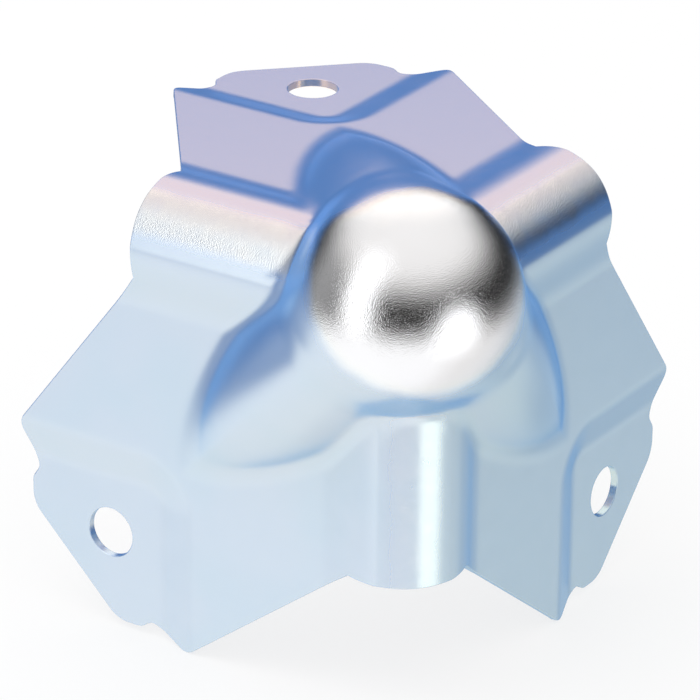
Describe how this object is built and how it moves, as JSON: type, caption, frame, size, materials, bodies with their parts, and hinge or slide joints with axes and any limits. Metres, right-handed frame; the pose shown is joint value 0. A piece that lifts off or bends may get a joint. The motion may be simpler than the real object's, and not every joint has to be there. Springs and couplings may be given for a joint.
{
  "type": "three way corner connector",
  "caption": "Pressed steel ball corner for a case with metal edging: a domed corner with round beads, raised bands and a flat riveting tab on each of its faces.",
  "frame": {"origin": "the outer corner of the case, where the outer faces of its three panels meet", "axes": "-Y out of the case's front panel, +X out of its right panel, +Z out of its top panel; the part's legs run towards -X, +Y and -Z"},
  "size_m": [0.0643, 0.0643, 0.0643],
  "materials": {
    "zinc_plate": "bright zinc plate with a thin iridescent blue passivation"
  },
  "bodies": {
    "root": {"corner_shell": "zinc_plate"}
  },
  "joints": []
}
